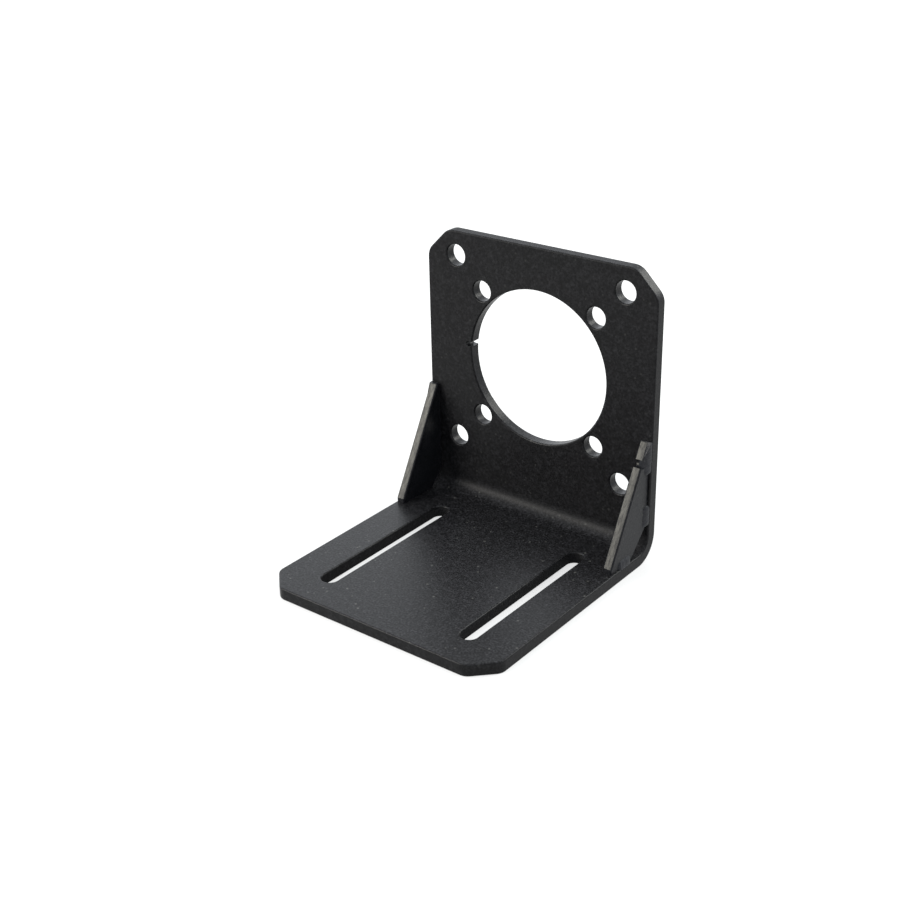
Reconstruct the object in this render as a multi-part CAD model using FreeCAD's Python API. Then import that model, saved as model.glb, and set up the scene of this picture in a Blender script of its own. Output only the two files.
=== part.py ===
import FreeCAD, Part
import math
import os

# Motor mounting bracket: a steel sheet folded into an L, with a triangular gusset
# stitch-welded into the fold at each side, all powder coated.
# Millimetres. X runs across the bracket, Y from the base's front edge back to the
# upright plate, Z up from the surface that the base stands on.
# The origin is on that surface, under the middle of the bracket.

# Folded sheet
bracket_width = 64.0
plate_height = 71.0
base_depth = 66.5
sheet_thickness = 3.0
bend_inner_radius = 3.6
plate_corner_cut = 6.0
plate_corner_radius = 4.0
base_corner_cut = 5.7
base_corner_radius = 3.0
coat_edge_radius = 0.4

# Holes in the upright plate, all set out from the motor's axis
motor_axis_below_top = 29.6
pilot_hole_diameter = 38.4
motor_bolt_spacing = 47.14
motor_bolt_hole_diameter = 5.3
gearbox_bolt_spacing = 32.0
gearbox_bolt_hole_diameter = 5.1
hole_rim_radius = 0.4

# Lead-in left by the cutter in the rim of the pilot hole
nick_width = 1.3
nick_depth = 1.8
nick_height_above_axis = 1.8

# Adjusting slots in the base
slot_spacing = 40.0
slot_width = 4.2
slot_length = 44.8
slot_gap_to_plate = 10.6

# Both gussets
gusset_thickness = 2.3

# Left gusset
left_inset = 0.3
left_height = 27.6
left_length = 15.5
left_top_width = 1.0
left_toe_height = 1.2
left_corner_clip = 3.9

# Right gusset, set further in from the sheet's edge
right_inset = 0.6
right_height = 27.9
right_length = 15.0
right_top_width = 0.5
right_toe_height = 1.2
right_corner_clip = 6.6

# Notch in the sloping edge of the right gusset
notch_width = 1.9
notch_depth = 1.7
notch_below_top = 4.7

# Stitch welds along the outside of each gusset: one down from its top, and two given as
# (start, end) from the fold. A bead would rise to weld_fill times the step beside the sheet's
# edge, and its top is dressed flush.
weld_reach = 2.2
weld_fill = 1.1
top_weld_length = 9.2
middle_weld_span = (5.2, 11.9)
foot_weld_span = (6.0, 12.2)

# Smallest turn, in degrees, that counts as a sharp edge, and the slack in comparing places
sharp_turn = 10
slack = 1e-3

# Worked out from the sizes above
plate_back_y = base_depth / 2
plate_front_y = plate_back_y - sheet_thickness
base_front_y = -base_depth / 2
bend_outer_radius = bend_inner_radius + sheet_thickness
motor_axis_height = plate_height - motor_axis_below_top
left_form = (left_height, left_length, left_top_width, left_toe_height, left_corner_clip)
right_form = (right_height, right_length, right_top_width, right_toe_height, right_corner_clip)


def point(x, y, z):
    return FreeCAD.Vector(x, y, z)


def line(start, end):
    return Part.LineSegment(start, end).toShape()


def arc(start, middle, end):
    return Part.Arc(start, middle, end).toShape()


def prism(corners, direction):
    """A solid with this outline of corners, drawn out along direction."""
    outline = Part.makePolygon(corners + corners[:1])
    return Part.Face(outline).extrude(direction)


def face_normal_at(face, spot):
    u, v = face.Surface.parameter(spot)
    return face.normalAt(u, v)


def middle_of(edge):
    return edge.valueAt((edge.FirstParameter + edge.LastParameter) / 2)


def is_sharp(shape, edge):
    """True where the two faces beside the edge meet at a clear angle."""
    faces = shape.ancestorsOfType(edge, Part.Face)
    if len(faces) != 2:
        return False
    first = face_normal_at(faces[0], middle_of(edge))
    second = face_normal_at(faces[1], middle_of(edge))
    return abs(first.dot(second)) < math.cos(math.radians(sharp_turn))


def fold():
    """The L section with its rounded bend, drawn out across the bracket's width."""
    x = -bracket_width / 2
    outer = bend_outer_radius
    inner = bend_inner_radius
    diagonal = math.sin(math.radians(45))
    centre_y = plate_front_y - inner
    centre_z = sheet_thickness + inner
    outer_middle = point(x, centre_y + outer * diagonal, centre_z - outer * diagonal)
    inner_middle = point(x, centre_y + inner * diagonal, centre_z - inner * diagonal)
    front_bottom = point(x, base_front_y, 0)
    bend_bottom = point(x, centre_y, 0)
    bend_back = point(x, plate_back_y, centre_z)
    top_back = point(x, plate_back_y, plate_height)
    top_front = point(x, plate_front_y, plate_height)
    bend_front = point(x, plate_front_y, centre_z)
    bend_top = point(x, centre_y, sheet_thickness)
    front_top = point(x, base_front_y, sheet_thickness)
    section = Part.Wire([
        line(front_bottom, bend_bottom),
        arc(bend_bottom, outer_middle, bend_back),
        line(bend_back, top_back),
        line(top_back, top_front),
        line(top_front, bend_front),
        arc(bend_front, inner_middle, bend_top),
        line(bend_top, front_top),
        line(front_top, front_bottom),
    ])
    return Part.Face(section).extrude(point(bracket_width, 0, 0))


def cut_corners(sheet):
    """The two top corners of the plate and the two front corners of the base."""
    half = bracket_width / 2
    through_plate = point(0, sheet_thickness, 0)
    through_base = point(0, 0, sheet_thickness)
    for side in (-1, 1):
        plate_corner = prism([
            point(side * half, plate_front_y, plate_height),
            point(side * (half - plate_corner_cut), plate_front_y, plate_height),
            point(side * half, plate_front_y, plate_height - plate_corner_cut),
        ], through_plate)
        base_corner = prism([
            point(side * half, base_front_y, 0),
            point(side * (half - base_corner_cut), base_front_y, 0),
            point(side * half, base_front_y + base_corner_cut, 0),
        ], through_base)
        sheet = sheet.cut(plate_corner).cut(base_corner)
    return sheet


def corner_edges(sheet, through):
    """The short straight edges at the outline's corners that cross the sheet along through."""
    found = []
    for edge in sheet.Edges:
        if not isinstance(edge.Curve, Part.Line) or not is_sharp(sheet, edge):
            continue
        is_along = abs(abs(edge.Curve.Direction.dot(through)) - 1) < slack
        if is_along and abs(edge.Length - sheet_thickness) < slack:
            found.append(edge)
    return found


def round_outline(sheet):
    """Rounded outline corners, then the coat's rounding along every edge."""
    sheet = sheet.makeFillet(plate_corner_radius, corner_edges(sheet, point(0, 1, 0)))
    sheet = sheet.makeFillet(base_corner_radius, corner_edges(sheet, point(0, 0, 1)))
    rims = [e for e in sheet.Edges if is_sharp(sheet, e)]
    return sheet.makeFillet(coat_edge_radius, rims)


def mouth_section(half_width):
    """Half the section of a hole through the sheet, with a rounded rim at both faces.

    It lies in the XZ plane, with the hole's axis on Z and the sheet from 0 to its thickness.
    """
    rim = hole_rim_radius
    over = sheet_thickness
    flare = half_width + rim
    inset = rim * (1 - math.sin(math.radians(45)))
    low_middle = point(half_width + inset, 0, inset)
    high_middle = point(half_width + inset, 0, sheet_thickness - inset)
    return Part.Wire([
        line(point(0, 0, -over), point(flare, 0, -over)),
        line(point(flare, 0, -over), point(flare, 0, 0)),
        arc(point(flare, 0, 0), low_middle, point(half_width, 0, rim)),
        line(point(half_width, 0, rim), point(half_width, 0, sheet_thickness - rim)),
        arc(point(half_width, 0, sheet_thickness - rim), high_middle, point(flare, 0, sheet_thickness)),
        line(point(flare, 0, sheet_thickness), point(flare, 0, sheet_thickness + over)),
        line(point(flare, 0, sheet_thickness + over), point(0, 0, sheet_thickness + over)),
        line(point(0, 0, sheet_thickness + over), point(0, 0, -over)),
    ])


def round_hole_tool(diameter):
    section = Part.Face(mouth_section(diameter / 2))
    return section.revolve(point(0, 0, 0), point(0, 0, 1), 360)


def slot_tool():
    """A slot along Y: a turned end at each end, joined by a straight run of the same section."""
    run = slot_length - slot_width
    end = round_hole_tool(slot_width)
    half_section = Part.Face(mouth_section(slot_width / 2))
    right = half_section.extrude(point(0, run, 0))
    left = right.mirror(point(0, 0, 0), point(1, 0, 0))
    far_end = end.copy()
    far_end.translate(point(0, run, 0))
    tool = end.fuse([right, left, far_end]).removeSplitter()
    tool.translate(point(0, -run / 2, 0))
    return tool


def square_pattern(spacing):
    half = spacing / 2
    return [(x, z) for x in (-half, half) for z in (-half, half)]


def drill_plate(sheet, diameter, x, height):
    tool = round_hole_tool(diameter)
    tool.rotate(point(0, 0, 0), point(1, 0, 0), -90)
    tool.translate(point(x, plate_front_y, height))
    return sheet.cut(tool)


def drill_motor_face(sheet):
    sheet = drill_plate(sheet, pilot_hole_diameter, 0, motor_axis_height)
    for x, z in square_pattern(motor_bolt_spacing):
        sheet = drill_plate(sheet, motor_bolt_hole_diameter, x, motor_axis_height + z)
    for x, z in square_pattern(gearbox_bolt_spacing):
        sheet = drill_plate(sheet, gearbox_bolt_hole_diameter, x, motor_axis_height + z)
    return sheet


def cut_nick(sheet):
    """A small round-ended notch across the rim of the pilot hole, at its left."""
    height = motor_axis_height + nick_height_above_axis
    reach = math.sqrt((pilot_hole_diameter / 2) ** 2 - nick_height_above_axis ** 2)
    end_x = -(reach + nick_depth - nick_width / 2)
    inside_x = -(reach - nick_depth)
    end = Part.makeCylinder(
        nick_width / 2, sheet_thickness, point(end_x, plate_front_y, height), point(0, 1, 0)
    )
    corner = point(end_x, plate_front_y, height - nick_width / 2)
    run = Part.makeBox(inside_x - end_x, sheet_thickness, nick_width, corner)
    return sheet.cut(end.fuse(run))


def cut_slots(sheet):
    back_end = plate_front_y - slot_gap_to_plate
    for side in (-1, 1):
        tool = slot_tool()
        tool.translate(point(side * slot_spacing / 2, back_end - slot_length / 2, 0))
        sheet = sheet.cut(tool)
    return sheet


def folded_plate():
    sheet = round_outline(cut_corners(fold()))
    sheet = cut_nick(drill_motor_face(sheet))
    return cut_slots(sheet)


def on_gusset(forward, up):
    """A point on the gusset's plane: forward from the plate's face, up from the base's top."""
    return point(0, plate_front_y - forward, sheet_thickness + up)


def gusset_outline(form, overlap=0):
    """A triangle with a blunt top and toe, and its inner corner clipped clear of the bend.

    Its two sides in the fold may reach into the sheet by an overlap.
    """
    height, length, top_width, toe_height, corner_clip = form
    return [
        on_gusset(corner_clip + overlap, -overlap),
        on_gusset(length, -overlap),
        on_gusset(length, toe_height),
        on_gusset(top_width, height),
        on_gusset(-overlap, height),
        on_gusset(-overlap, corner_clip + overlap),
    ]


def gusset_blank(form):
    """The gusset's plate, its edges rounded by the coat where they don't meet the sheet."""
    blank = prism(gusset_outline(form), point(gusset_thickness, 0, 0))
    free = []
    for edge in blank.Edges:
        middle = middle_of(edge)
        clear_of_plate = middle.y < plate_front_y - slack
        clear_of_base = middle.z > sheet_thickness + slack
        if clear_of_plate and clear_of_base:
            free.append(edge)
    return blank.makeFillet(coat_edge_radius, free)


def notch_tool():
    """A round-bottomed notch square to the right gusset's sloping edge."""
    top = on_gusset(right_top_width, right_height)
    slope = on_gusset(right_length, right_toe_height) - top
    share = notch_below_top / (right_height - right_toe_height)
    along = point(slope.x, slope.y, slope.z).normalize()
    inward = point(0, -along.z, along.y)
    mouth = top + slope * share
    outside = mouth - inward * notch_depth
    bottom = mouth + inward * (notch_depth - notch_width / 2)
    side = along * (notch_width / 2)
    across = point(gusset_thickness, 0, 0)
    run = prism([outside - side, bottom - side, bottom + side, outside + side], across)
    end = Part.makeCylinder(notch_width / 2, gusset_thickness, bottom, point(1, 0, 0))
    return run.fuse(end)


def left_gusset():
    gusset = gusset_blank(left_form)
    gusset.translate(point(-bracket_width / 2 + left_inset, 0, 0))
    return gusset


def right_gusset():
    gusset = gusset_blank(right_form).cut(notch_tool())
    gusset.translate(point(bracket_width / 2 - right_inset - gusset_thickness, 0, 0))
    return gusset


def bead(start, end, step):
    """A shallow rod with round ends, and how deep its centre line is sunk below the gusset's face.

    It rises over that face by its crown and meets it at the weld's reach.
    """
    crown = step * weld_fill
    depth = (weld_reach ** 2 - crown ** 2) / (2 * crown)
    radius = depth + crown
    along = end - start
    run = point(along.x, along.y, along.z).normalize() * weld_reach
    first = start + run
    last = end - run
    rod = Part.makeCylinder(radius, (last - first).Length, first, run)
    rod = rod.fuse([Part.makeSphere(radius, first), Part.makeSphere(radius, last)])
    return rod, depth


def stitch_welds(side, inset, form, sheet, gusset):
    """Three beads in the step between a gusset's outer face and the sheet, flush with its edge.

    They end where the gusset's outline does, and the top one runs out over its top edge.
    """
    height = form[0]
    spans = []
    for low, high in (middle_weld_span, (height - top_weld_length, height + weld_reach)):
        spans.append((on_gusset(0, low), on_gusset(0, high)))
    spans.append((on_gusset(foot_weld_span[0], 0), on_gusset(foot_weld_span[1], 0)))
    edge_x = side * bracket_width / 2
    gusset_x = edge_x - side * inset
    step = prism(gusset_outline(form, coat_edge_radius), point(inset, 0, 0))
    step.translate(point(min(edge_x, gusset_x), 0, 0))
    beads = []
    for start, end in spans:
        rod, depth = bead(start, end, inset)
        rod.translate(point(gusset_x - side * depth, 0, 0))
        beads += rod.common(step).cut(sheet).cut(gusset).Solids
    return Part.makeCompound(beads)


def build():
    sheet = folded_plate()
    left = left_gusset()
    right = right_gusset()
    return {
        "folded_plate": sheet,
        "left_gusset": left,
        "right_gusset": right,
        "left_welds": stitch_welds(-1, left_inset, left_form, sheet, left),
        "right_welds": stitch_welds(1, right_inset, right_form, sheet, right),
    }


os.makedirs("parts", exist_ok=True)
for node, shape in build().items():
    print(node, len(shape.Solids), "solids", round(shape.Volume, 2), "mm3", shape.isValid())
    shape.exportStep("parts/" + node + ".step")
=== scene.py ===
import math

import bpy
from mathutils import Matrix, Vector


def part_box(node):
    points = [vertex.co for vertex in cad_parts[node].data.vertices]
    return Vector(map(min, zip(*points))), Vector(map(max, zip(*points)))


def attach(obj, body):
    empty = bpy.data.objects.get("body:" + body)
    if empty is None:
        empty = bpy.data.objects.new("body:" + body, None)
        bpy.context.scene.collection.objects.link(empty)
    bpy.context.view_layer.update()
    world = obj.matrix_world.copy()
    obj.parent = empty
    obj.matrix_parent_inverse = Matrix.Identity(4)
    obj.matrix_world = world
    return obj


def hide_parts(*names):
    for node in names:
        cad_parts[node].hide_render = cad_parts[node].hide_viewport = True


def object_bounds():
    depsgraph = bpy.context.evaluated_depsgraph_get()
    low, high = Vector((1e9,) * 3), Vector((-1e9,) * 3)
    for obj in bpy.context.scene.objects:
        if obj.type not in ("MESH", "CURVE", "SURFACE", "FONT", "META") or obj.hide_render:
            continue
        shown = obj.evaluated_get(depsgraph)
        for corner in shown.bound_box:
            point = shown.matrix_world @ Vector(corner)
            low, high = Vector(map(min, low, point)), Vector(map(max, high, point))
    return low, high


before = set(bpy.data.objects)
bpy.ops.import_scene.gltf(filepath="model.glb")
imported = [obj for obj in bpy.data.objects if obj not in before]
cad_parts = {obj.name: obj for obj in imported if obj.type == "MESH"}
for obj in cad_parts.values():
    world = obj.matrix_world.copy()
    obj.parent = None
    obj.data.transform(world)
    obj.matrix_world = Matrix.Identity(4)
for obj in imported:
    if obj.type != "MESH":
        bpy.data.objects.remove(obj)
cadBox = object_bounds()     # the solids' own box
mm = 0.001
print("frame loaded:", ", ".join(sorted(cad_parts)))


# colours and nodes

colourA, colourB, colourOut = 6, 7, 2    # a Mix node's sockets for colours; their names aren't unique


def hexToLinear(hexColour):
    # sRGB hex as a picker shows it, to the linear values that a shader wants
    channels = [int(hexColour[i:i + 2], 16) / 255 for i in (1, 3, 5)]
    linear = [c / 12.92 if c <= 0.04045 else ((c + 0.055) / 1.055) ** 2.4 for c in channels]
    return (*linear, 1.0)


def addNode(material, kind, settings=None, links=None):
    # one node: its settings by attribute, socket name or socket number, and what feeds its sockets
    node = material.node_tree.nodes.new(kind)
    for name, value in (settings or {}).items():
        if isinstance(name, str) and hasattr(node, name):
            setattr(node, name, value)
        else:
            node.inputs[name].default_value = value
    for name, source in (links or {}).items():
        material.node_tree.links.new(source, node.inputs[name])
    return node


def emptyMaterial(name):
    material = bpy.data.materials.new(name)
    material.use_nodes = True
    material.node_tree.nodes.clear()
    return material


# camera, at the photograph's angle

cameraSetup = {
    "azimuth": 38.56,                      # degrees, 0 looks along +Y and 90 along -X
    "elevation": 25.49,
    "roll": -1.32,
    "distance": 363.48,                    # mm from the aim point
    "lens": 57.12,                         # mm, on a 36 mm wide sensor
    "nearest": 10,                         # mm, what is nearer isn't drawn
    "aimPoint": (-26.31, 29.87, 12.99),    # mm, what the middle of the picture looks at
}


def directionTo(setup):
    # from the object towards a camera or lamp that stands at this azimuth and elevation
    azimuth = math.radians(setup["azimuth"])
    elevation = math.radians(setup["elevation"])
    return Vector((
        math.sin(azimuth) * math.cos(elevation),
        -math.cos(azimuth) * math.cos(elevation),
        math.sin(elevation),
    ))


def placeCamera(setup):
    azimuth = math.radians(setup["azimuth"])
    roll = math.radians(setup["roll"])
    back = directionTo(setup)
    level = Vector((math.cos(azimuth), math.sin(azimuth), 0))
    upright = back.cross(level)
    right = level * math.cos(roll) + upright * math.sin(roll)
    up = upright * math.cos(roll) - level * math.sin(roll)
    bpy.ops.object.camera_add()
    camera = bpy.context.object
    camera.name = "productCamera"
    camera.data.lens = setup["lens"]
    camera.data.clip_start = setup["nearest"] * mm
    turn = Matrix((right, up, back)).transposed().to_4x4()
    place = (Vector(setup["aimPoint"]) + back * setup["distance"]) * mm
    camera.matrix_world = Matrix.Translation(place) @ turn
    bpy.context.scene.camera = camera


placeCamera(cameraSetup)
print("camera placed")


# studio: white sweep lit from within, two softboxes, a white room brighter to the back left

studio = {
    "floorSize": 20000,                # mm
    "floorColour": "#929291",
    "floorGlow": 0.60,                 # like a light table, so that shadows stay faint
    "roomColour": "#f6faff",
    "brightSide": (-0.62, 0.78, 0.0),  # the direction of the brighter walls
    "roomStrength": (1.08, 2.4),       # opposite the bright side, and there
}

softboxes = {
    "frontLeftBox": {
        "azimuth": -38, "elevation": 26, "distance": 900,      # degrees and mm
        "size": (420, 300), "power": 8.0, "colour": "#fffaf2",
    },
    "backRightBox": {
        "azimuth": 149, "elevation": 37, "distance": 900,
        "size": (420, 300), "power": 5.0, "colour": "#fbfbf4",
    },
}


def makeFloor(setup):
    bpy.ops.object.select_all(action="DESELECT")
    bpy.ops.mesh.primitive_plane_add(size=setup["floorSize"] * mm)
    floor = bpy.context.object
    floor.name = "whiteSweep"
    material = emptyMaterial("matte white sweep paper")
    colour = hexToLinear(setup["floorColour"])
    paper = addNode(material, "ShaderNodeBsdfDiffuse", {"Color": colour})
    glow = addNode(material, "ShaderNodeEmission", {"Strength": setup["floorGlow"]})
    litPaper = addNode(material, "ShaderNodeAddShader", links={
        0: paper.outputs[0], 1: glow.outputs[0],
    })
    addNode(material, "ShaderNodeOutputMaterial", links={"Surface": litPaper.outputs[0]})
    floor.data.materials.append(material)


def makeRoom(setup):
    world = bpy.data.worlds.new("whiteRoom")
    world.use_nodes = True
    background = world.node_tree.nodes["Background"]
    background.inputs["Color"].default_value = hexToLinear(setup["roomColour"])
    direction = addNode(world, "ShaderNodeTexCoord").outputs["Generated"]
    towards = addNode(world, "ShaderNodeVectorMath", {
        "operation": "DOT_PRODUCT", 1: setup["brightSide"],
    }, {0: direction})
    strength = addNode(world, "ShaderNodeMapRange", {
        "From Min": -1.0, "From Max": 1.0,
        "To Min": setup["roomStrength"][0], "To Max": setup["roomStrength"][1],
    }, {"Value": towards.outputs["Value"]})
    world.node_tree.links.new(strength.outputs["Result"], background.inputs["Strength"])
    bpy.context.scene.world = world


def makeSoftbox(name, setup):
    toBox = directionTo(setup)
    bpy.ops.object.light_add(type="AREA", location=toBox * setup["distance"] * mm)
    light = bpy.context.object
    light.name = name
    light.visible_camera = False
    light.rotation_euler = toBox.to_track_quat("Z", "Y").to_euler()
    light.data.shape = "RECTANGLE"
    light.data.size = setup["size"][0] * mm
    light.data.size_y = setup["size"][1] * mm
    light.data.energy = setup["power"]
    light.data.color = hexToLinear(setup["colour"])[:3]


makeFloor(studio)
makeRoom(studio)
for name, setup in softboxes.items():
    makeSoftbox(name, setup)
bpy.context.scene.view_settings.view_transform = "Standard"
print("studio lit")


# powder coat

powderCoat = {
    "darkColour": "#060607",     # near black, mottled by the powder's grain
    "lightColour": "#2b2b2d",
    "nibColour": "#4d4d4a",      # grit nibs that stand proud and catch dust
    "ior": 1.5,
    "specular": 0.12,            # the fine texture scatters most of the shine of a smooth film
    "roughness": (0.30, 0.40),   # satin, a little uneven
    "peelSpacing": 1.5,          # mm between the swells of orange peel
    "peelHeight": 0.020,         # mm
    "peelNoise": (1.0, 0.4),     # detail and roughness of its noise
    "peelRange": (0.3, 0.7),     # of the noise, from valley to swell
    "gritSize": 0.50,            # mm, the powder's own grain; real grains are finer, drawn to show
    "gritHeight": 0.030,         # mm
    "gritNoise": (2.0, 0.6),
    "gritRange": (0.38, 0.74),   # of the noise, from dark to light
    "mottle": (0.45, 1.25),      # share of the grain's lightness in the valleys and on the swells
    "facesUp": (0.3, 0.9),       # of the normal's Z, from an upright face to one that faces up
    "uprightGrain": 0.40,        # share of the grain's pale mottle that an upright face shows: painted shade on upright faces
    "uprightNibs": 0.25,         # and of the pale nibs, fewer on upright faces as painted shade
    "nibSpacing": 1.5,           # mm between places where a nib may be
    "nibRadius": 0.42,           # mm, of the largest
    "nibShare": 0.45,            # of these places that have one
}


def makePowderCoat(name, setup, pale=None, dull=None):
    # black polyester powder, sprayed and baked: low satin shine broken by fine grain
    material = emptyMaterial(name)
    coordinates = addNode(material, "ShaderNodeTexCoord").outputs
    place = coordinates["Object"]

    # the swells of orange peel, and the grain on them
    peel = addNode(material, "ShaderNodeTexNoise", {
        "Scale": 1 / (setup["peelSpacing"] * mm),
        "Detail": setup["peelNoise"][0], "Roughness": setup["peelNoise"][1],
    }, {"Vector": place}).outputs[0]
    grit = addNode(material, "ShaderNodeTexNoise", {
        "Scale": 1 / (setup["gritSize"] * mm),
        "Detail": setup["gritNoise"][0], "Roughness": setup["gritNoise"][1],
    }, {"Vector": place}).outputs[0]
    mottle = addNode(material, "ShaderNodeMapRange", {
        "From Min": setup["peelRange"][0], "From Max": setup["peelRange"][1],
        "To Min": setup["mottle"][0], "To Max": setup["mottle"][1],
    }, {"Value": peel}).outputs["Result"]
    # faces that face up show the pale grain and nibs in full and upright faces less of them: painted
    # light on the tops, painted shade on the upright faces
    facing = addNode(material, "ShaderNodeSeparateXYZ", links={0: coordinates["Normal"]})
    facesUp = addNode(material, "ShaderNodeMapRange", {
        "From Min": setup["facesUp"][0], "From Max": setup["facesUp"][1],
    }, {"Value": facing.outputs["Z"]}).outputs["Result"]
    paintedLightGrainShare = addNode(material, "ShaderNodeMapRange", {
        "To Min": setup["uprightGrain"],
    }, {"Value": facesUp}).outputs["Result"]
    lightness = addNode(material, "ShaderNodeMath", {"operation": "MULTIPLY"}, {
        0: mottle, 1: paintedLightGrainShare,
    }).outputs["Value"]
    grain = addNode(material, "ShaderNodeMapRange", {
        "From Min": setup["gritRange"][0], "From Max": setup["gritRange"][1],
    }, {"Value": grit, "To Max": lightness}).outputs["Result"]

    # nibs: some of the cells have a round one, each as large as its cell's own chance
    cells = addNode(material, "ShaderNodeTexVoronoi", {
        "Scale": 1 / (setup["nibSpacing"] * mm), "Randomness": 1.0,
    }, {"Vector": place}).outputs
    chance = addNode(material, "ShaderNodeSeparateColor", links={0: cells["Color"]})
    radius = addNode(material, "ShaderNodeMapRange", {
        "From Min": 1 - setup["nibShare"], "To Max": setup["nibRadius"] / setup["nibSpacing"],
    }, {"Value": chance.outputs["Red"]}).outputs["Result"]
    paintedLightNibShare = addNode(material, "ShaderNodeMapRange", {
        "To Min": setup["uprightNibs"],
    }, {"Value": facesUp}).outputs["Result"]
    nib = addNode(material, "ShaderNodeMapRange", {"From Max": 0.0}, {
        "Value": cells["Distance"], "From Min": radius, "To Max": paintedLightNibShare,
    }).outputs["Result"]

    film = addNode(material, "ShaderNodeMix", {
        "data_type": "RGBA",
        colourA: hexToLinear(setup["darkColour"]), colourB: hexToLinear(setup["lightColour"]),
    }, {0: grain}).outputs[colourOut]
    colour = addNode(material, "ShaderNodeMix", {
        "data_type": "RGBA", colourB: hexToLinear(setup["nibColour"]),
    }, {0: nib, colourA: film}).outputs[colourOut]
    roughness = addNode(material, "ShaderNodeMapRange", {
        "To Min": setup["roughness"][0], "To Max": setup["roughness"][1],
    }, {"Value": peel}).outputs["Result"]
    if pale:
        colour = pale(material, coordinates, colour)
    if dull:
        roughness = dull(material, coordinates, roughness)
    peelBump = addNode(material, "ShaderNodeBump", {
        "Strength": 1.0, "Distance": setup["peelHeight"] * mm,
    }, {"Height": peel})
    gritBump = addNode(material, "ShaderNodeBump", {
        "Strength": 1.0, "Distance": setup["gritHeight"] * mm,
    }, {"Height": grit, "Normal": peelBump.outputs["Normal"]})
    coat = addNode(material, "ShaderNodeBsdfPrincipled", {
        "IOR": setup["ior"], "Specular IOR Level": setup["specular"],
    }, {"Base Color": colour, "Roughness": roughness, "Normal": gritBump.outputs["Normal"]})
    addNode(material, "ShaderNodeOutputMaterial", links={"Surface": coat.outputs["BSDF"]})
    return material


def markRegion(material, axes, share, limits):
    # share where every limit is passed, fading to 0 from its second number back to its first, in mm
    mask = None
    for axis, start, full in limits:
        step = addNode(material, "ShaderNodeMapRange", {
            "From Min": start * mm, "From Max": full * mm, "To Max": 1.0 if mask else share,
        }, {"Value": axes[axis]}).outputs["Result"]
        if mask:
            step = addNode(material, "ShaderNodeMath", {"operation": "MULTIPLY"}, {
                0: mask, 1: step,
            }).outputs["Value"]
        mask = step
    return mask


# the sheet: dull where the spray doesn't reach well, and on its rougher cut sides

dullPlaces = {
    "roughness": 0.85,
    "regions": {                 # share of that roughness, and where: mm, from none to all of it
        "slot walls": (1.0, [
            ("across", 17.1, 17.5), ("across", 22.9, 22.5), ("z", 2.80, 2.60), ("y", -28.0, -27.6),
        ]),
        "fold": (0.28, [("y", 21.0, 25.0), ("z", 14.0, 10.0), ("across", 31.7, 31.5)]),
        "fold's corners": (1.0, [
            ("y", 21.0, 25.0), ("z", 14.0, 10.0), ("across", 25.0, 29.0), ("across", 31.7, 31.5),
        ]),
        "cut sides": (0.27, [("across", 31.6, 31.9)]),
        "cut top": (0.5, [("z", 70.5, 70.8)]),
    },
}


def dullSheltered(material, coordinates, roughness):
    axes = dict(zip("xyz", addNode(material, "ShaderNodeSeparateXYZ", links={
        0: coordinates["Object"],
    }).outputs))
    axes["across"] = addNode(material, "ShaderNodeMath", {"operation": "ABSOLUTE"}, {
        0: axes["x"],
    }).outputs["Value"]
    dullness = None
    for share, limits in dullPlaces["regions"].values():
        region = markRegion(material, axes, share, limits)
        if dullness:
            region = addNode(material, "ShaderNodeMath", {"operation": "MAXIMUM"}, {
                0: dullness, 1: region,
            }).outputs["Value"]
        dullness = region
    return addNode(material, "ShaderNodeMapRange", {
        "To Max": dullPlaces["roughness"],
    }, {"Value": dullness, "To Min": roughness}).outputs["Result"]


sheetCoat = makePowderCoat("satin black powder coat on sheet", powderCoat, dull=dullSheltered)


# the gussets: their sloping edges are rough from the shear, with the coat thin and pale on them, and
# lightened further there as painted highlight

cutEdge = {
    "facing": (0.0, -0.8734, 0.4870),      # roughly where both sloping edges face
    "facingRange": (0.95, 0.99),           # how nearly a face looks that way, from not at all pale
    "burnishAndHighlightColour": "#484742",          # the smooth band that the shear leaves first, lightened further as painted highlight
    "tornColour": "#171717",               # the torn band beyond it
    "streakWidth": 0.55,                   # mm
    "streakLength": 2.4,                   # mm, along the edge
    "streakNoise": (3.0, 0.7),             # detail and roughness of its noise
    "streakRange": (0.34, 0.60),           # of the noise, from torn to burnished
    "rightBand": [("x", 31.3, 30.2), ("x", -1.0, 1.0)],    # mm, from torn to burnished
    "leftBand": [("x", -29.5, -30.1)],
}


# the sloping edges' pale band is partly the shear's real burnish and partly painted highlight where
# the front-left softbox shines
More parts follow.
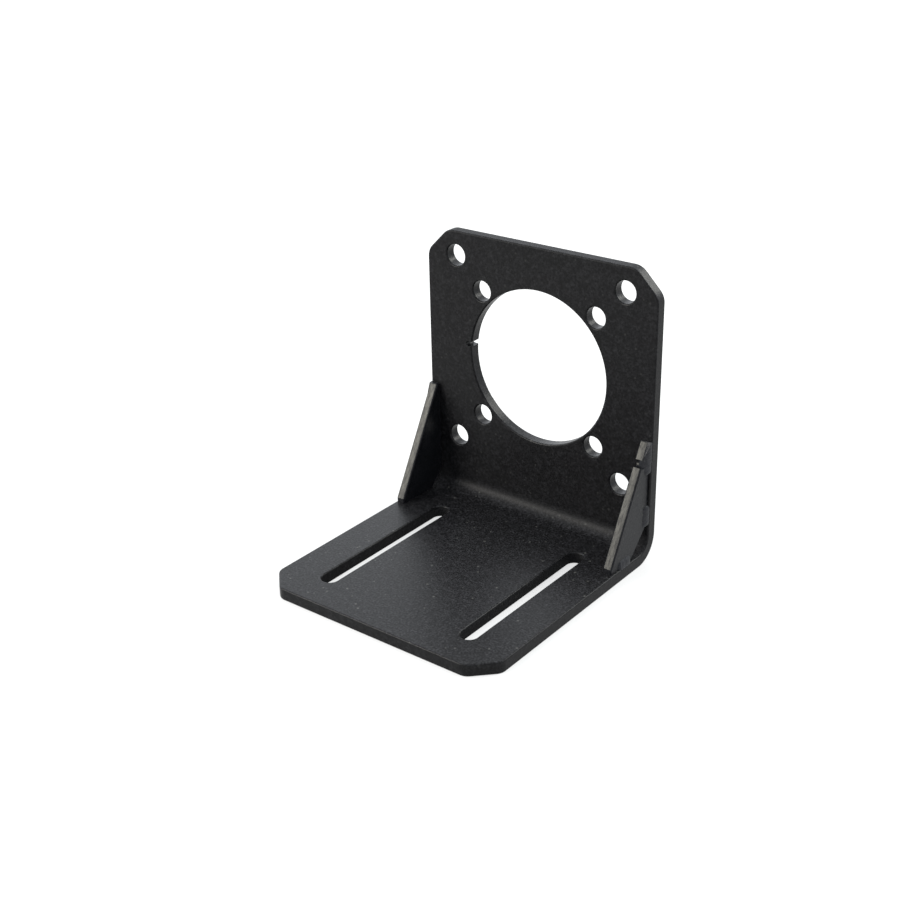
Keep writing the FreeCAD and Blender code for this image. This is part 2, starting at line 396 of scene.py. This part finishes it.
def paleCutEdgeAndHighlight(material, coordinates, colour):
    setup = cutEdge
    axes = dict(zip("xyz", addNode(material, "ShaderNodeSeparateXYZ", links={
        0: coordinates["Object"],
    }).outputs))
    slope = addNode(material, "ShaderNodeVectorMath", {
        "operation": "DOT_PRODUCT", 1: setup["facing"],
    }, {0: coordinates["Normal"]})
    onEdge = addNode(material, "ShaderNodeMapRange", {
        "From Min": setup["facingRange"][0], "From Max": setup["facingRange"][1],
    }, {"Value": slope.outputs["Value"]}).outputs["Result"]
    band = addNode(material, "ShaderNodeMath", {"operation": "MAXIMUM"}, {
        0: markRegion(material, axes, 1.0, setup["rightBand"]),
        1: markRegion(material, axes, 1.0, setup["leftBand"]),
    }).outputs["Value"]
    stretch = setup["streakWidth"] / setup["streakLength"]    # draws the noise out along the edge
    drawnOut = addNode(material, "ShaderNodeMapping", {
        "Scale": (1.0, stretch, stretch),
    }, {"Vector": coordinates["Object"]}).outputs["Vector"]
    streaks = addNode(material, "ShaderNodeTexNoise", {
        "Scale": 1 / (setup["streakWidth"] * mm),
        "Detail": setup["streakNoise"][0], "Roughness": setup["streakNoise"][1],
    }, {"Vector": drawnOut}).outputs[0]
    smooth = addNode(material, "ShaderNodeMapRange", {
        "From Min": setup["streakRange"][0], "From Max": setup["streakRange"][1],
    }, {"Value": streaks, "To Max": band}).outputs["Result"]
    edgeAndHighlight = addNode(material, "ShaderNodeMix", {
        "data_type": "RGBA",
        colourA: hexToLinear(setup["tornColour"]), colourB: hexToLinear(setup["burnishAndHighlightColour"]),
    }, {0: smooth}).outputs[colourOut]
    return addNode(material, "ShaderNodeMix", {"data_type": "RGBA"}, {
        0: onEdge, colourA: colour, colourB: edgeAndHighlight,
    }).outputs[colourOut]


# the gussets' dark tone is lighter and bluer than the sheet's, though it is the same powder: painted
# light
gussetPaintedLightSetup = dict(powderCoat, darkColour="#0c0d10")
gussetPaintedLightCoat = makePowderCoat("satin black powder coat on sheared gusset", gussetPaintedLightSetup, pale=paleCutEdgeAndHighlight)


# the welds: the same coat, painted a little paler over the rippled metal as painted highlight

weldHighlightSetup = dict(powderCoat, darkColour="#1b1c1f", lightColour="#3a3a3d")
weldHighlightCoat = makePowderCoat("satin black powder coat over weld metal", weldHighlightSetup)

for node, coat in {
    "folded_plate": sheetCoat,
    "left_gusset": gussetPaintedLightCoat, "right_gusset": gussetPaintedLightCoat,
    "left_welds": weldHighlightCoat, "right_welds": weldHighlightCoat,
}.items():
    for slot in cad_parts[node].material_slots:
        slot.material = coat
print("powder coat on", len(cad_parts), "nodes")


# stitch welds: three beads on the outside of each gusset, each a run of overlapping ripples

weldRun = {
    "reach": 2.0,            # mm that a bead laps onto the gusset
    "sink": 2.0,             # mm that its middle lies below the gusset's face, for a low crown
    "belowEdge": 0.03,       # mm that its crown stays below the sheet's edge
    "taper": 1.4,            # mm over which an end dies out
    "endScale": 0.05,        # of the bead's thickness, left at its very end
    "ringSpacing": 0.15,     # mm
    "rippleSpacing": 0.75,   # mm from one ripple to the next
    "rippleDepth": 0.020,    # of the bead's thickness, lost before the next ripple starts
    "rippleDrift": 0.3,      # share of a ripple by which they wander, as a hand-held torch lays them
    "driftTurn": 2.3,        # radians of that wandering in 1 mm
    "crescent": 0.5,         # mm that the middle of a ripple runs ahead of its sides
    "crescentSteps": (0.35, 0.60, 0.80, 0.93),    # shares of the way to the crown, for each move
    "sides": 28,             # of each ring
    "topLength": 9.2,        # mm, down from the gusset's top
    "middleSpan": (5.2, 11.9),   # mm up from the base
    "footSpan": (6.0, 12.2),     # mm forward of the plate
    "trim": 0.03,            # mm that a cut end stays behind the gusset's own face
    "root": 1.0,             # mm that a bead goes into the gusset, the plate and the base
    "exactness": 0.001,      # mm within which vertices are one, or lie on a cut
    "smoothAngle": 50,       # degrees; a sharper edge stays sharp
}

gussetCuts = {       # side is the sign of its X, the rest is in mm
    "left": {"side": -1, "topWidth": 1.0, "toeHeight": 1.2, "cornerClip": 3.9},
    "right": {"side": 1, "topWidth": 0.5, "toeHeight": 1.2, "cornerClip": 6.6},
}


def pickVertices(piece, isPicked):
    bpy.ops.object.mode_set(mode="OBJECT")
    for face in piece.data.polygons:
        face.select = False
    for edge in piece.data.edges:
        edge.select = False
    for vertex in piece.data.vertices:
        vertex.select = isPicked(vertex.co)
    bpy.ops.object.mode_set(mode="EDIT")


def ringScale(distance, length):
    # how thick the bead is at this distance from its start, as a share of its thickness
    setup = weldRun
    fromEnd = min(distance, length - distance, setup["taper"]) / setup["taper"]
    rounded = math.sqrt(1 - (1 - fromEnd) ** 2)
    drift = setup["rippleDrift"] * math.sin(setup["driftTurn"] * distance)
    phase = (distance / setup["rippleSpacing"] + drift) % 1
    return max(rounded, setup["endScale"]) * (1 - setup["rippleDepth"] * phase ** 2)


def resizeRing(scale, keep, middle):
    # scale the picked ring about its middle, except along the bead
    bpy.ops.transform.resize(
        value=Vector((scale, scale, scale)) + keep * (1 - scale), center_override=middle * mm,
    )


def layBead(name, start, end, thickness, width):
    # start and end lie on the joint, sunk below the gusset's face; sizes in mm
    setup = weldRun
    length = (end - start).length
    ahead = (end - start).normalized()
    isUpright = abs(ahead.z) > abs(ahead.y)
    keep = Vector((0, 0, 1)) if isUpright else Vector((0, 1, 0))
    bpy.ops.object.select_all(action="DESELECT")
    bpy.ops.mesh.primitive_circle_add(
        vertices=setup["sides"], radius=width * mm, fill_type="NGON",
        location=start * mm, rotation=(0 if isUpright else math.pi / 2, 0, 0),
    )
    bead = bpy.context.object
    bead.name = name
    bpy.ops.object.transform_apply(location=True, rotation=True, scale=True)
    bpy.ops.object.mode_set(mode="EDIT")
    bpy.ops.mesh.select_mode(type="VERT")
    bpy.ops.mesh.select_all(action="SELECT")
    bpy.ops.transform.resize(value=(thickness / width, 1, 1), center_override=start * mm)

    # the first ring bows forward, and every ring drawn from it does too
    steps = setup["crescentSteps"]
    for share in steps:
        limit = share * thickness * mm
        pickVertices(bead, lambda co: abs(co.x - start.x * mm) > limit)
        bpy.ops.transform.translate(value=ahead * setup["crescent"] / len(steps) * mm)
    bpy.ops.mesh.select_all(action="SELECT")
    scale = ringScale(0, length)
    resizeRing(scale, keep, start)
    rings = round(length / setup["ringSpacing"])
    step = length / rings
    for ring in range(1, rings + 1):
        bpy.ops.mesh.extrude_region_move(TRANSFORM_OT_translate={"value": ahead * step * mm})
        ratio = ringScale(ring * step, length) / scale
        scale *= ratio
        resizeRing(ratio, keep, start + ahead * ring * step)
    bpy.ops.mesh.select_all(action="SELECT")
    bpy.ops.mesh.remove_doubles(threshold=setup["exactness"] * mm)
    bpy.ops.mesh.normals_make_consistent(inside=False)
    bpy.ops.object.mode_set(mode="OBJECT")
    soften = bead.modifiers.new("softRipples", "SUBSURF")
    soften.levels = soften.render_levels = 1
    bpy.ops.object.modifier_apply(modifier=soften.name)
    return bead


def trimBead(bead, spot, outward):
    # cut off what lies past a plane that faces outward, a hair inside it, and close the cut
    outward = Vector(outward).normalized()
    bpy.context.view_layer.objects.active = bead
    bpy.ops.object.mode_set(mode="EDIT")
    bpy.ops.mesh.select_all(action="SELECT")
    bpy.ops.mesh.bisect(
        plane_co=(spot - outward * weldRun["trim"]) * mm, plane_no=outward,
        use_fill=True, clear_outer=True, threshold=weldRun["exactness"] * mm,
    )
    bpy.ops.object.mode_set(mode="OBJECT")


def layWelds(name, gussetNode, weldNode, cuts, coat):
    setup = weldRun
    low, high = (Vector(corner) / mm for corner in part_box(gussetNode))
    plateY, baseZ, height = high.y, low.z, high.z - low.z
    faceX = high.x if cuts["side"] > 0 else low.x
    edgeX = cuts["side"] * cadBox[1][0] / mm

    # each bead is an ellipse about its sunk middle, so wide that it leaves the face at its reach
    middleX = faceX - cuts["side"] * setup["sink"]
    crown = abs(edgeX - faceX) - setup["belowEdge"]
    thickness = setup["sink"] + crown
    width = setup["reach"] / math.sqrt(1 - (setup["sink"] / thickness) ** 2)

    def onJoint(forward, up):
        return Vector((middleX, plateY - forward, baseZ + up))

    # the top bead runs on past the gusset's top, which cuts it off where it is still thick
    runs = {
        "top": (onJoint(0, height - setup["topLength"]), onJoint(0, height + setup["taper"])),
        "middle": (onJoint(0, setup["middleSpan"][0]), onJoint(0, setup["middleSpan"][1])),
        "foot": (onJoint(setup["footSpan"][0], 0), onJoint(setup["footSpan"][1], 0)),
    }
    top = onJoint(cuts["topWidth"], height)
    toe = onJoint(plateY - low.y, cuts["toeHeight"])
    clip = onJoint(cuts["cornerClip"], 0)
    root = onJoint(-setup["root"], -setup["root"])
    root.x = faceX - cuts["side"] * setup["root"]
    trims = (
        (top, (0, toe.z - top.z, top.y - toe.y)),    # the gusset's slope
        (top, (0, 0, 1)),
        (clip, (0, 1, -1)),
        (root, (0, 1, 0)),
        (root, (0, 0, -1)),
        (root, (-cuts["side"], 0, 0)),
    )
    beads = []
    for run, (start, end) in runs.items():
        bead = layBead(name + "-" + run, start, end, thickness, width)
        for spot, outward in trims:
            trimBead(bead, spot, outward)
        beads.append(bead)
    bpy.ops.object.select_all(action="DESELECT")
    for bead in beads:
        bead.select_set(True)
    bpy.context.view_layer.objects.active = beads[0]
    bpy.ops.object.join()
    welds = bpy.context.object
    welds.name = name
    bpy.ops.object.shade_smooth_by_angle(angle=math.radians(setup["smoothAngle"]))
    welds.data.materials.append(coat)
    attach(welds, "root")
    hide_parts(weldNode)
    print(name, "laid:", len(welds.data.polygons), "faces")


layWelds("leftWelds", "left_gusset", "left_welds", gussetCuts["left"], weldHighlightCoat)
layWelds("rightWelds", "right_gusset", "right_welds", gussetCuts["right"], weldHighlightCoat)
